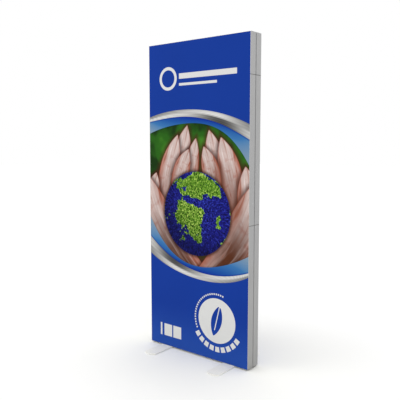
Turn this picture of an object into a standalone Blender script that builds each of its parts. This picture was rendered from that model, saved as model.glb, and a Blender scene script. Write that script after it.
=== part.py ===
"""Free-standing double-sided fabric frame display.

A deep extruded aluminium frame carries a stretched printed graphic on its front and on
its back. Each upright comes apart into three lengths, and two flat feet are bolted
under the frame. Metres, +Z up. The origin is on the floor, under the middle of
the frame. The front graphic faces -Y.
"""

import math

import bmesh
import bpy
from mathutils import Matrix

MM = 0.001
GAP = 0.3 * MM  # left between two pieces that touch

# The frame as a whole.
FRAME_WIDTH = 900 * MM
FRAME_HEIGHT = 2250 * MM
FRAME_DEPTH = 125 * MM
LOWER_LENGTH = 990 * MM  # lowest piece of an upright
MIDDLE_LENGTH = 990 * MM  # the piece above it; the top piece makes up the height

# The extruded section.
SECTION_WIDTH = 30 * MM  # from the outer face to the inner face
WALL = 2 * MM
LIP_THICKNESS = 2 * MM  # outer side of the graphic's channel
LIP_SLOPE_LENGTH = 6 * MM  # the outer face leans in towards its edge
LIP_SLOPE_DROP = 0.8 * MM
GROOVE_WIDTH = 9 * MM  # shallow groove down the middle of the outer face
GROOVE_DEPTH = 2.5 * MM
GROOVE_CHAMFER = 0.5 * MM
CHAMBER_WIDTH = 32 * MM  # hollow that the brackets and joiners slide into
SEAM_GAP = 0.8 * MM  # between two lengths of an upright

# The graphics and the silicone strips sewn to their edges.
FABRIC_THICKNESS = 1 * MM
FABRIC_RECESS = 0.2 * MM  # how far the fabric lies behind the frame's edge
STRIP_THICKNESS = 3 * MM
STRIP_WIDTH = 14 * MM

# Corner brackets, joiners and their screws.
BRACKET_LEG = 110 * MM
BRACKET_SCREW_PLACE = 80 * MM  # from the frame's outer corner
JOINER_LENGTH = 200 * MM
JOINER_SCREW_PLACE = 60 * MM  # from the seam
SCREW_RADIUS = 4 * MM
SCREW_HEAD_RADIUS = 6.5 * MM
SCREW_HEAD_HEIGHT = 3 * MM
SCREW_DEPTH = 14 * MM  # how far a screw reaches into its bar
SOCKET_RADIUS = 2.9 * MM  # hexagon socket, to its corners
SOCKET_DEPTH = 2 * MM
TIP_ROOM = 1 * MM  # left below the tip of a screw

# The brace across the middle of the frame, its saddles and latches.
BRACE_PLACE = 1125 * MM  # above the frame's bottom
BRACE_DEPTH = 30 * MM
BRACE_HEIGHT = 40 * MM
BRACE_WALL = 2 * MM
SADDLE_LENGTH = 40 * MM
SADDLE_CHEEK = 12 * MM
SADDLE_FLOOR = 5 * MM
SADDLE_BACK = 5 * MM
LATCH_WIDTH = 12 * MM
LATCH_THICKNESS = 4 * MM
LATCH_PIN_RADIUS = 3 * MM
LATCH_PIN_LENGTH = 20 * MM

# The feet.
FOOT_INSET = 160 * MM  # from the frame's side to the middle of the foot
FOOT_WIDTH = 100 * MM
FOOT_REACH = 200 * MM  # how far the foot's tip is in front of the frame
FOOT_TIP_RISE = 17 * MM  # height of the arc at each end
FOOT_THICKNESS = 6 * MM
FOOT_EDGE = 0.8 * MM
PAD_LENGTH = 80 * MM
PAD_WIDTH = 22 * MM
PAD_THICKNESS = 2 * MM
PAD_INSET = 42 * MM  # from the foot's tip to the middle of the pad
BOLT_RADIUS = 4 * MM
BOLT_HEAD_RADIUS = 8 * MM
BOLT_SINK = 0.4 * MM  # how far the bolt's head lies inside the foot
COUNTERSINK_CLEARANCE = 0.45 * MM
NUT_LENGTH = 40 * MM
NUT_THICKNESS = 6 * MM

# Sizes that follow from those above.
HALF_DEPTH = FRAME_DEPTH / 2
HALF_WIDTH = FRAME_WIDTH / 2
UPPER_LENGTH = FRAME_HEIGHT - LOWER_LENGTH - MIDDLE_LENGTH
FOOT_BOTTOM = PAD_THICKNESS + GAP
FOOT_TOP = FOOT_BOTTOM + FOOT_THICKNESS
FRAME_BOTTOM = FOOT_TOP + GAP
CHANNEL_GAP = STRIP_THICKNESS + 2 * GAP
CHANNEL_LAND = FABRIC_RECESS + FABRIC_THICKNESS + GAP  # fabric's seat, behind the edge
CHANNEL_DEPTH = CHANNEL_LAND + STRIP_WIDTH + GAP
CHAMBER_OUTER = GROOVE_DEPTH + WALL
CHAMBER_INNER = SECTION_WIDTH - WALL
BAR_OUTER = CHAMBER_OUTER + GAP
BAR_INNER = CHAMBER_INNER - GAP
BAR_WIDTH = CHAMBER_WIDTH - 2 * GAP
FOOT_LENGTH = FRAME_DEPTH + 2 * FOOT_REACH
SIDES = {"left": -1, "right": 1}


def clear_scene():
    """Empty the scene, so that only this model's objects are in it."""
    for item in list(bpy.data.objects):
        bpy.data.objects.remove(item, do_unlink=True)


def make_material(name, colour, roughness, metallic):
    """A Principled material of one colour."""
    material = bpy.data.materials.new(name)
    material.use_nodes = True
    shader = material.node_tree.nodes["Principled BSDF"]
    shader.inputs["Base Color"].default_value = (*colour, 1.0)
    shader.inputs["Roughness"].default_value = roughness
    shader.inputs["Metallic"].default_value = metallic
    return material


def make_materials():
    """The object's finishes, by name."""
    return {
        "aluminium": make_material("anodised_aluminium", (0.47, 0.47, 0.46), 0.45, 0.9),
        "bracket": make_material("bare_aluminium", (0.60, 0.60, 0.60), 0.4, 1.0),
        "zinc": make_material("zinc_plated_steel", (0.55, 0.56, 0.58), 0.35, 1.0),
        "foot": make_material("painted_steel", (0.62, 0.62, 0.62), 0.5, 0.3),
        "rubber": make_material("black_rubber", (0.03, 0.03, 0.03), 0.8, 0.0),
        "silicone": make_material("silicone_strip", (0.75, 0.75, 0.72), 0.5, 0.0),
        "nylon": make_material("black_nylon", (0.05, 0.05, 0.05), 0.6, 0.0),
        "front": make_material("front_print", (0.02, 0.05, 0.30), 0.8, 0.0),
        "back": make_material("back_print", (0.02, 0.05, 0.30), 0.8, 0.0),
    }


def add_piece(name, mesh, material, place):
    """One named object with its material. place is its matrix in the world."""
    piece = bpy.data.objects.new(name, mesh)
    bpy.context.scene.collection.objects.link(piece)
    piece.data.materials.clear()
    piece.data.materials.append(material)
    piece.matrix_world = place
    return piece


def add_axis(name, place):
    """An empty on a joint's axis, which carries the pieces that move about it."""
    axis = bpy.data.objects.new(name, None)
    axis.empty_display_size = 0.05
    bpy.context.scene.collection.objects.link(axis)
    axis.matrix_world = Matrix.Translation(place)
    return axis


def hang_on(piece, parent):
    """Parent a piece and leave it where it is."""
    bpy.context.view_layer.update()
    piece.parent = parent
    piece.matrix_parent_inverse = parent.matrix_world.inverted()


def finish_mesh(name, shape, smooth=False):
    """Turn a bmesh into a mesh with its faces pointing out."""
    bmesh.ops.recalc_face_normals(shape, faces=shape.faces)
    mesh = bpy.data.meshes.new(name)
    shape.to_mesh(mesh)
    shape.free()
    if smooth:
        mesh.shade_smooth()
        mesh.set_sharp_from_angle(angle=math.radians(35))
    return mesh


def add_loop(shape, points):
    """A closed loop of edges through points, and those edges."""
    corners = [shape.verts.new(point) for point in points]
    following = corners[1:] + corners[:1]
    return [shape.edges.new(pair) for pair in zip(corners, following)]


def extruded_mesh(name, loops, length, mitre_start=False, mitre_end=False):
    """Fill the (x, y) loops, the later ones as holes, and extrude them along +Z.

    A mitred end is cut back as far as each point lies inside the outer face at x = 0.
    """
    shape = bmesh.new()
    edges = []
    for loop in loops:
        edges += add_loop(shape, [(x, y, 0.0) for x, y in loop])
    bmesh.ops.triangle_fill(shape, use_beauty=True, use_dissolve=False, edges=edges)
    start = list(shape.verts)
    made = bmesh.ops.extrude_face_region(shape, geom=list(shape.faces), use_keep_orig=True)
    end = [item for item in made["geom"] if isinstance(item, bmesh.types.BMVert)]
    for corner in end:
        corner.co.z = length + (corner.co.x if mitre_end else 0.0)
    for corner in start:
        corner.co.z = -corner.co.x if mitre_start else 0.0
    return finish_mesh(name, shape)


def box_mesh(name, size, edge=0.0):
    """A block centred on its origin, with its edges broken where edge is given."""
    shape = bmesh.new()
    bmesh.ops.create_cube(shape, size=1.0, matrix=Matrix.Diagonal((*size, 1.0)))
    if edge:
        bmesh.ops.bevel(shape, geom=list(shape.edges), offset=edge, segments=1, affect="EDGES")
    return finish_mesh(name, shape)


def turned_mesh(name, profile, steps=24):
    """Spin (radius, height) points about Z. The first and last lie on the axis."""
    shape = bmesh.new()
    corners = [shape.verts.new((radius, 0.0, height)) for radius, height in profile]
    edges = [shape.edges.new(pair) for pair in zip(corners, corners[1:])]
    bmesh.ops.spin(
        shape,
        geom=corners + edges,
        cent=(0, 0, 0),
        axis=(0, 0, 1),
        angle=2 * math.pi,
        steps=steps,
    )
    bmesh.ops.remove_doubles(shape, verts=shape.verts, dist=MM / 1000)
    return finish_mesh(name, shape, smooth=True)


def cylinder_mesh(name, radius, low, high, steps=24):
    """A plain round bar along Z from low to high."""
    return turned_mesh(name, [(0, low), (radius, low), (radius, high), (0, high)], steps)


def combine(piece, mesh, place, operation):
    """Cut a mesh, at place in the world, out of a piece, or unite the two."""
    material = piece.data.materials[0]
    tool = bpy.data.objects.new("tool", mesh)
    bpy.context.scene.collection.objects.link(tool)
    tool.matrix_world = place
    modifier = piece.modifiers.new("combine", "BOOLEAN")
    modifier.operation = operation
    modifier.solver = "EXACT"
    modifier.object = tool
    bpy.context.view_layer.update()
    evaluated = piece.evaluated_get(bpy.context.evaluated_depsgraph_get())
    result = bpy.data.meshes.new_from_object(evaluated)
    result.materials.clear()
    result.materials.append(material)
    piece.modifiers.clear()
    piece.data = result
    bpy.data.objects.remove(tool, do_unlink=True)


def cut(piece, mesh, place):
    """Take the shape of a mesh, at place in the world, out of a piece."""
    combine(piece, mesh, place, "DIFFERENCE")


def member_places():
    """Each side of the frame: its corner, with X outwards, Y across the depth and Z along."""
    top = FRAME_BOTTOM + FRAME_HEIGHT
    half_turn = Matrix.Rotation(math.pi, 4, "Z")
    leftwards = Matrix.Rotation(-math.pi / 2, 4, "Y")
    rightwards = Matrix.Rotation(math.pi / 2, 4, "Y")
    return {
        "right": Matrix.Translation((HALF_WIDTH, 0, FRAME_BOTTOM)),
        "left": Matrix.Translation((-HALF_WIDTH, 0, FRAME_BOTTOM)) @ half_turn,
        "top": Matrix.Translation((HALF_WIDTH, 0, top)) @ leftwards,
        "bottom": Matrix.Translation((-HALF_WIDTH, 0, FRAME_BOTTOM)) @ rightwards,
    }


def section_half():
    """The section's outline on its +Y side, from the groove's floor round to the inner face."""
    groove = GROOVE_WIDTH / 2
    box = CHAMBER_WIDTH / 2 + WALL
    channel = LIP_THICKNESS + CHANNEL_GAP
    floor = HALF_DEPTH - CHANNEL_DEPTH
    seat = HALF_DEPTH - CHANNEL_LAND
    return [
        (-GROOVE_DEPTH, groove),
        (-GROOVE_CHAMFER, groove),
        (0.0, groove + GROOVE_CHAMFER),
        (0.0, HALF_DEPTH - LIP_SLOPE_LENGTH),
        (-LIP_SLOPE_DROP, HALF_DEPTH),
        (-LIP_THICKNESS, HALF_DEPTH),
        (-LIP_THICKNESS, floor),
        (-channel, floor),
        (-channel, seat),
        (-channel - WALL, seat),
        (-channel - WALL, floor - WALL),
        (-WALL, floor - WALL),
        (-WALL, box),
        (-SECTION_WIDTH, box),
    ]


def section_loops():
    """The whole section: its outline and the chamber inside it."""
    half = section_half()
    outline = half + [(x, -y) for x, y in reversed(half)]
    side = CHAMBER_WIDTH / 2
    chamber = [
        (-CHAMBER_OUTER, side),
        (-CHAMBER_INNER, side),
        (-CHAMBER_INNER, -side),
        (-CHAMBER_OUTER, -side),
    ]
    return [outline, chamber]


def screw_place(along):
    """A screw's place in a member: through the inner wall, pointing outwards."""
    seat = Matrix.Translation((-SECTION_WIDTH, 0, along))
    return seat @ Matrix.Rotation(math.pi / 2, 4, "Y")


def drill_for_screw(piece, place):
    """The clearance hole for a screw, from the inner wall into the bar behind it."""
    depth = WALL + GAP + SCREW_DEPTH + TIP_ROOM
    hole = cylinder_mesh("hole", SCREW_RADIUS + GAP, -WALL, depth)
    cut(piece, hole, place)


def screw_mesh(name):
    """A button-head screw with a hexagon socket, along +Z, its seat at the origin."""
    crown = -GAP - SCREW_HEAD_HEIGHT
    shoulder = SCREW_HEAD_HEIGHT * 0.5
    tip = WALL + GAP + SCREW_DEPTH
    profile = [
        (0, crown),
        (SCREW_HEAD_RADIUS * 0.7, crown),
        (SCREW_HEAD_RADIUS * 0.93, crown + shoulder * 0.5),
        (SCREW_HEAD_RADIUS, crown + shoulder),
        (SCREW_HEAD_RADIUS, -GAP),
        (SCREW_RADIUS, -GAP),
        (SCREW_RADIUS, tip - MM),
        (SCREW_RADIUS - MM, tip),
        (0, tip),
    ]
    return turned_mesh(name, profile)


def add_screw(name, material, place):
    """A screw at its place in the world."""
    screw = add_piece(name, screw_mesh(name), material, place)
    crown = -GAP - SCREW_HEAD_HEIGHT
    socket = cylinder_mesh("socket", SOCKET_RADIUS, crown - MM, crown + SOCKET_DEPTH, 6)
    cut(screw, socket, place)


def upright_pieces():
    """Name, start, length and mitred ends of each length of an upright, from the bottom."""
    middle = LOWER_LENGTH
    upper = LOWER_LENGTH + MIDDLE_LENGTH
    return [
        ("lower", 0.0, LOWER_LENGTH, True, False),
        ("middle", middle, MIDDLE_LENGTH, False, False),
        ("upper", upper, UPPER_LENGTH, False, True),
    ]


def screw_stations():
    """Name and height of every screw in an upright, from the frame's bottom."""
    lower_seam = LOWER_LENGTH
    upper_seam = LOWER_LENGTH + MIDDLE_LENGTH
    return [
        ("corner_screw_bottom_{}_upright", BRACKET_SCREW_PLACE),
        ("joiner_screw_{}_lower_below", lower_seam - JOINER_SCREW_PLACE),
        ("joiner_screw_{}_lower_above", lower_seam + JOINER_SCREW_PLACE),
        ("joiner_screw_{}_upper_below", upper_seam - JOINER_SCREW_PLACE),
        ("joiner_screw_{}_upper_above", upper_seam + JOINER_SCREW_PLACE),
        ("corner_screw_top_{}_upright", FRAME_HEIGHT - BRACKET_SCREW_PLACE),
    ]


def add_upright(side, member, materials):
    """The three lengths of one upright, each drilled for the screws in it."""
    for part, start, length, mitre_start, mitre_end in upright_pieces():
        low = start + (GAP if mitre_start else SEAM_GAP) / 2
        high = start + length - (GAP if mitre_end else SEAM_GAP) / 2
        name = f"upright_{side}_{part}"
        mesh = extruded_mesh(name, section_loops(), high - low, mitre_start, mitre_end)
        place = member @ Matrix.Translation((0, 0, low))
        piece = add_piece(name, mesh, materials["aluminium"], place)
        for _, height in screw_stations():
            if start < height < start + length:
                drill_for_screw(piece, member @ screw_place(height))


def add_rail(end, member, materials):
    """The top or bottom rail in one length, mitred at both ends."""
    name = f"{end}_rail"
    # A mitred face leans, so its gap is a little more along the rail than across it.
    trimmed = FRAME_WIDTH - 2 * GAP
    mesh = extruded_mesh(name, section_loops(), trimmed, True, True)
    piece = add_piece(name, mesh, materials["aluminium"], member @ Matrix.Translation((0, 0, GAP)))
    for along in (BRACKET_SCREW_PLACE, FRAME_WIDTH - BRACKET_SCREW_PLACE):
        drill_for_screw(piece, member @ screw_place(along))
    if end == "bottom":
        drill_for_bolts(piece)


def drill_for_bolts(rail):
    """The holes in the floor of the bottom rail's groove that the feet are bolted through."""
    for way in SIDES.values():
        middle = Matrix.Translation((way * (HALF_WIDTH - FOOT_INSET), 0, FRAME_BOTTOM))
        cut(rail, cylinder_mesh("hole", BOLT_RADIUS + GAP, 0.0, CHAMBER_OUTER + MM), middle)


def bracket_mesh(name):
    """An L-shaped bar for the lower right corner, one leg up and one leg to -X."""
    outline = [
        (-BAR_OUTER, BAR_OUTER),
        (-BAR_OUTER, BRACKET_LEG),
        (-BAR_INNER, BRACKET_LEG),
        (-BAR_INNER, BAR_INNER),
        (-BRACKET_LEG, BAR_INNER),
        (-BRACKET_LEG, BAR_OUTER),
    ]
    mesh = extruded_mesh(name, [outline], BAR_WIDTH)
    flat_to_upright = Matrix.Rotation(math.pi / 2, 4, "X")
    mesh.transform(flat_to_upright @ Matrix.Translation((0, 0, -BAR_WIDTH / 2)))
    return mesh


def add_corner_brackets(members, materials):
    """The four brackets, each with a screw in its upright and one in its rail."""
    top = FRAME_BOTTOM + FRAME_HEIGHT
    far = FRAME_WIDTH - BRACKET_SCREW_PLACE
    high = FRAME_HEIGHT - BRACKET_SCREW_PLACE
    near = BRACKET_SCREW_PLACE
    corners = [
        ("bottom", "right", 0, FRAME_BOTTOM, near, far),
        ("bottom", "left", 1, FRAME_BOTTOM, near, near),
        ("top", "left", 2, top, high, far),
        ("top", "right", 3, top, high, near),
    ]
    for end, side, turns, height, up, along in corners:
        name = f"corner_bracket_{end}_{side}"
        corner = Matrix.Translation((SIDES[side] * HALF_WIDTH, 0, height))
        place = corner @ Matrix.Rotation(turns * math.pi / 2, 4, "Y")
        bracket = add_piece(name, bracket_mesh(name), materials["bracket"], place)
        in_upright = members[side] @ screw_place(up)
        in_rail = members[end] @ screw_place(along)
        drill_for_screw(bracket, in_upright)
        drill_for_screw(bracket, in_rail)
        add_screw(f"corner_screw_{end}_{side}_upright", materials["zinc"], in_upright)
        add_screw(f"corner_screw_{end}_{side}_rail", materials["zinc"], in_rail)


def add_joiners(side, member, materials):
    """The bars across both seams of an upright, with a screw on each side of the seam."""
    seams = {"lower": LOWER_LENGTH, "upper": LOWER_LENGTH + MIDDLE_LENGTH}
    middle = -(BAR_OUTER + BAR_INNER) / 2
    for seam, height in seams.items():
        name = f"joiner_{side}_{seam}"
        size = (BAR_INNER - BAR_OUTER, BAR_WIDTH, JOINER_LENGTH)
        place = member @ Matrix.Translation((middle, 0, height))
        joiner = add_piece(name, box_mesh(name, size, 0.6 * MM), materials["bracket"], place)
        for which, shift in (("below", -JOINER_SCREW_PLACE), ("above", JOINER_SCREW_PLACE)):
            spot = member @ screw_place(height + shift)
            drill_for_screw(joiner, spot)
            add_screw(f"joiner_screw_{side}_{seam}_{which}", materials["zinc"], spot)


def add_graphic(face, sign, materials):
    """A stretched graphic and the four strips that hold it. sign is -1 for the front."""
    width = FRAME_WIDTH - 2 * (LIP_THICKNESS + GAP)
    height = FRAME_HEIGHT - 2 * (LIP_THICKNESS + GAP)
    middle = FRAME_BOTTOM + FRAME_HEIGHT / 2
    depth = sign * (HALF_DEPTH - FABRIC_RECESS - FABRIC_THICKNESS / 2)
    name = f"{face}_graphic"
    sheet = box_mesh(name, (width, FABRIC_THICKNESS, height))
    add_piece(name, sheet, materials[face], Matrix.Translation((0, depth, middle)))
    add_strips(face, sign, materials["silicone"])


def add_strips(face, sign, material):
    """Two strips in the uprights' channels, and two in the rails' channels between them."""
    depth = sign * (HALF_DEPTH - CHANNEL_LAND - STRIP_WIDTH / 2)
    middle = FRAME_BOTTOM + FRAME_HEIGHT / 2
    inset = LIP_THICKNESS + GAP
    centre = inset + STRIP_THICKNESS / 2
    tall = (STRIP_THICKNESS, STRIP_WIDTH, FRAME_HEIGHT - 2 * inset)
    between = FRAME_WIDTH - 2 * (inset + STRIP_THICKNESS + GAP)
    wide = (between, STRIP_WIDTH, STRIP_THICKNESS)
    for side, way in SIDES.items():
        name = f"{face}_strip_{side}"
        spot = (way * (HALF_WIDTH - centre), depth, middle)
        add_piece(name, box_mesh(name, tall), material, Matrix.Translation(spot))
    for end, way in (("bottom", -1), ("top", 1)):
        name = f"{face}_strip_{end}"
        spot = (0, depth, middle + way * (FRAME_HEIGHT / 2 - centre))
        add_piece(name, box_mesh(name, wide), material, Matrix.Translation(spot))


def add_brace(materials):
    """The rectangular tube that keeps the uprights apart half-way up."""
    inside = FRAME_WIDTH - 2 * SECTION_WIDTH
    length = inside - 2 * (GAP + SADDLE_BACK + GAP)
    half_y = BRACE_DEPTH / 2
    half_z = BRACE_HEIGHT / 2
    outer = [(half_z, half_y), (-half_z, half_y), (-half_z, -half_y), (half_z, -half_y)]
    hollow_y = half_y - BRACE_WALL
    hollow_z = half_z - BRACE_WALL
    inner = [(hollow_z, hollow_y), (-hollow_z, hollow_y), (-hollow_z, -hollow_y), (hollow_z, -hollow_y)]
    mesh = extruded_mesh("cross_brace", [outer, inner], length)
    start = Matrix.Translation((-length / 2, 0, FRAME_BOTTOM + BRACE_PLACE))
    add_piece("cross_brace", mesh, materials["aluminium"], start @ Matrix.Rotation(math.pi / 2, 4, "Y"))


def add_saddle(side, way, materials):
    """The saddle that an end of the brace drops into, open at its top and its inner end."""
    width = BRACE_DEPTH + 2 * GAP + 2 * SADDLE_CHEEK
    height = SADDLE_FLOOR + GAP + BRACE_HEIGHT
    outer_end = HALF_WIDTH - SECTION_WIDTH - GAP
    floor = FRAME_BOTTOM + BRACE_PLACE - BRACE_HEIGHT / 2 - GAP - SADDLE_FLOOR
    name = f"brace_saddle_{side}"
    block = box_mesh(name, (SADDLE_LENGTH, width, height))
    spot = (way * (outer_end - SADDLE_LENGTH / 2), 0, floor + height / 2)
    saddle = add_piece(name, block, materials["nylon"], Matrix.Translation(spot))
    room = (SADDLE_LENGTH, BRACE_DEPTH + 2 * GAP, height)
    bed = (way * (outer_end - SADDLE_LENGTH / 2 - SADDLE_BACK), 0, floor + height / 2 + SADDLE_FLOOR)
    cut(saddle, box_mesh("bed", room), Matrix.Translation(bed))
    pin = latch_axis(way)
    depth = LATCH_PIN_LENGTH + TIP_ROOM
    hole = cylinder_mesh("hole", LATCH_PIN_RADIUS + GAP, -depth, MM, 16)
    cut(saddle, hole, Matrix.Translation(pin))


def latch_axis(way):
    """Where a latch's pin enters the top of its saddle's rear cheek."""
    outer_end = HALF_WIDTH - SECTION_WIDTH - GAP
    across = BRACE_DEPTH / 2 + GAP + SADDLE_CHEEK / 2
    top = FRAME_BOTTOM + BRACE_PLACE + BRACE_HEIGHT / 2
    return (way * (outer_end - SADDLE_LENGTH / 2), across, top)


def add_latch(side, way, materials):
    """A turn button across the top of the saddle, with its pin in the rear cheek."""
    name = f"brace_latch_{side}"
    pin = latch_axis(way)
    reach = BRACE_DEPTH + 2 * GAP + SADDLE_CHEEK
    arm = (LATCH_WIDTH, reach + LATCH_WIDTH, LATCH_THICKNESS)
    shape = bmesh.new()
    middle = Matrix.Translation((0, -reach / 2, GAP + LATCH_THICKNESS / 2))
    bmesh.ops.create_cube(shape, size=1.0, matrix=middle @ Matrix.Diagonal((*arm, 1.0)))
    latch = add_piece(name, finish_mesh(name, shape), materials["zinc"], Matrix.Translation(pin))
    top = GAP + LATCH_THICKNESS / 2
    shank = cylinder_mesh("pin", LATCH_PIN_RADIUS, -LATCH_PIN_LENGTH, top, 16)
    combine(latch, shank, latch.matrix_world, "UNION")
    hang_on(latch, add_axis(f"{name}_axis", pin))


def foot_outline(steps=14):
    """The foot seen from above: straight sides and a shallow arc at each end."""
    half = FOOT_WIDTH / 2
    tip = FOOT_LENGTH / 2
    radius = (half**2 + FOOT_TIP_RISE**2) / (2 * FOOT_TIP_RISE)
    spread = math.asin(half / radius)
    centre = tip - radius
    angles = [spread * (1 - 2 * step / steps) for step in range(steps + 1)]
    rear = [(radius * math.sin(turn), centre + radius * math.cos(turn)) for turn in angles]
    front = [(-x, -y) for x, y in rear]
    return rear + front


def bolt_profile(clearance=0.0, sink=0.0):
    """(radius, height) points of the countersunk bolt, or of its hole, from the head up."""
    slope = BOLT_HEAD_RADIUS - BOLT_RADIUS
    head = BOLT_HEAD_RADIUS + clearance
    shank = BOLT_RADIUS + min(clearance, GAP)
    tip = FRAME_BOTTOM + CHAMBER_OUTER + NUT_THICKNESS - FOOT_BOTTOM + sink
    return [(0, -sink), (head, -sink), (head, BOLT_SINK), (shank, BOLT_SINK + slope), (shank, tip), (0, tip)]


def add_foot(side, way, materials):
    """A foot plate with its pads, its bolt, and the nut plate inside the bottom rail."""
    middle = (way * (HALF_WIDTH - FOOT_INSET), 0, 0)
    axis = add_axis(f"foot_{side}_axis", middle)
    add_foot_plate(side, middle, axis, materials["foot"])
    add_foot_pads(side, middle, axis, materials["rubber"])
    add_foot_bolt(side, middle, axis, materials["zinc"])
    add_foot_nut(side, middle, materials["zinc"])


def add_foot_plate(side, middle, axis, material):
    """The flat plate, with a countersunk hole in its middle."""
    name = f"foot_plate_{side}"
    mesh = extruded_mesh(name, [foot_outline()], FOOT_THICKNESS)
    low = Matrix.Translation((middle[0], middle[1], FOOT_BOTTOM))
    plate = add_piece(name, mesh, material, low)
    hole = turned_mesh("hole", bolt_profile(COUNTERSINK_CLEARANCE, MM))
    cut(plate, hole, low)
    rounding = plate.modifiers.new("edge", "BEVEL")
    rounding.width = FOOT_EDGE
    rounding.segments = 1
    rounding.limit_method = "ANGLE"
    rounding.angle_limit = math.radians(60)
    hang_on(plate, axis)


def add_foot_pads(side, middle, axis, material):
    """A rubber pad under each end of the foot."""
    reach = FOOT_LENGTH / 2 - PAD_INSET
    for end, way in (("front", -1), ("rear", 1)):
        name = f"foot_pad_{side}_{end}"
        spot = (middle[0], way * reach, PAD_THICKNESS / 2)
        mesh = box_mesh(name, (PAD_LENGTH, PAD_WIDTH, PAD_THICKNESS), 0.4 * MM)
        hang_on(add_piece(name, mesh, material, Matrix.Translation(spot)), axis)


def add_foot_bolt(side, middle, axis, material):
    """The countersunk bolt, put in from below."""
    name = f"foot_bolt_{side}"
    place = Matrix.Translation((middle[0], 0, FOOT_BOTTOM))
    profile = [(0, BOLT_SINK)] + bolt_profile()[2:]
    bolt = add_piece(name, turned_mesh(name, profile), material, place)
    socket = cylinder_mesh("socket", SOCKET_RADIUS, 0.0, BOLT_SINK + SOCKET_DEPTH, 6)
    cut(bolt, socket, place)
    hang_on(bolt, axis)


def add_foot_nut(side, middle, material):
    """The nut plate in the bottom rail's chamber, which the bolt is screwed into."""
    name = f"foot_nut_{side}"
    height = FRAME_BOTTOM + CHAMBER_OUTER + GAP + NUT_THICKNESS / 2
    place = Matrix.Translation((middle[0], 0, height))
    nut = add_piece(name, box_mesh(name, (NUT_LENGTH, BAR_WIDTH, NUT_THICKNESS)), material, place)
    cut(nut, cylinder_mesh("hole", BOLT_RADIUS + GAP, -NUT_THICKNESS, NUT_THICKNESS), place)


def main():
    clear_scene()
    materials = make_materials()
    members = member_places()
    for side, way in SIDES.items():
        add_upright(side, members[side], materials)
        add_joiners(side, members[side], materials)
        add_saddle(side, way, materials)
        add_latch(side, way, materials)
        add_foot(side, way, materials)
    for end in ("top", "bottom"):
        add_rail(end, members[end], materials)
    add_corner_brackets(members, materials)
    add_brace(materials)
    add_graphic("front", -1, materials)
    add_graphic("back", 1, materials)


main()
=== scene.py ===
"""Looks of a double-sided fabric frame display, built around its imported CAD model.

The two stretched graphics are made here as cloth: each is one knitted sheet, drawn flat over the
frame's front or back, rolled over the edge and tucked into the channel behind the lip. Every other
piece keeps its CAD shape and gets its finish here. Metres, +Z up, the front faces -Y.
"""

import math

import bpy
import numpy as np
from bpy.props import FloatProperty, FloatVectorProperty, IntProperty, PointerProperty
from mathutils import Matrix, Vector


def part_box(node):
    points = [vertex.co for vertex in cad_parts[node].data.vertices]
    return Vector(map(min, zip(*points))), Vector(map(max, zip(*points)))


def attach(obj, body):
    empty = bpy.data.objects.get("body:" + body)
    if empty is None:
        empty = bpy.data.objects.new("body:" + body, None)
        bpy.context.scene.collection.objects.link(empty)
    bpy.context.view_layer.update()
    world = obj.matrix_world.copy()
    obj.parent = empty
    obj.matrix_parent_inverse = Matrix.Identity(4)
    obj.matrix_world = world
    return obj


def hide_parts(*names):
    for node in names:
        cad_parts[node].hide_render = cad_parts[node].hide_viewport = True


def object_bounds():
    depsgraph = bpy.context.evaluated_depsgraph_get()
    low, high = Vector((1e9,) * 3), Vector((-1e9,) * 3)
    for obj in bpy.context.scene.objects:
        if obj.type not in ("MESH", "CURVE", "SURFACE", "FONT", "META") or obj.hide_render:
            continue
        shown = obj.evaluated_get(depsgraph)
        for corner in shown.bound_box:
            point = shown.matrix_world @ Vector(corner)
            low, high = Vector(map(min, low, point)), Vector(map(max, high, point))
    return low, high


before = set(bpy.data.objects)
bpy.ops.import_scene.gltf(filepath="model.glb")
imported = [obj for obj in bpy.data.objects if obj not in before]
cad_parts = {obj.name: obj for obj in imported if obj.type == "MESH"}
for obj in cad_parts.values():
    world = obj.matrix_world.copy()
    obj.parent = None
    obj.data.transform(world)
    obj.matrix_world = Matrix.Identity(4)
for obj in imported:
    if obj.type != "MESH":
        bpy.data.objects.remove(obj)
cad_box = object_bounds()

bl_info = {
    "name": "Fabric frame display",
    "version": (1, 0, 0),
    "blender": (4, 5, 0),
    "location": "3D View > Sidebar > Display",
    "description": "Cloth graphics, metal finishes and a studio for a fabric frame display",
    "category": "Add Mesh",
}

MM = 0.001
SOFT_EDGE = 0.5 * MM  # half the width over which an edge in the print softens
FACES = {"front": -1, "back": 1}  # which way along Y each face looks
SIDES = ("left", "right")
UPRIGHTS = [f"upright_{side}_{part}" for side in SIDES for part in ("lower", "middle", "upper")]
RAILS = ["top_rail", "bottom_rail"]


# ---------------------------------------------------------------- settings


def linear(code):
    """The linear colour of a paint given as a hex code."""
    parts = np.array([int(code[i:i + 2], 16) for i in (0, 2, 4)]) / 255
    straight = parts / 12.92
    curved = ((parts + 0.055) / 1.055) ** 2.4
    return tuple(float(x) for x in np.where(parts <= 0.04045, straight, curved))


def colour_setting(name, code, about):
    """A colour that the user can change."""
    return FloatVectorProperty(
        name=name, description=about, default=linear(code), subtype="COLOR", size=3, min=0.0, max=1.0
    )


def length_setting(name, size, about):
    """A length that the user can change."""
    return FloatProperty(name=name, description=about, default=size, min=0.0, unit="LENGTH", precision=5)


def number_setting(name, value, about, **limits):
    """A number that the user can change."""
    return FloatProperty(name=name, description=about, default=value, **limits)


def angle_setting(name, degrees, about):
    """An angle that the user can change."""
    return FloatProperty(name=name, description=about, default=math.radians(degrees), subtype="ANGLE")


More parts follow.
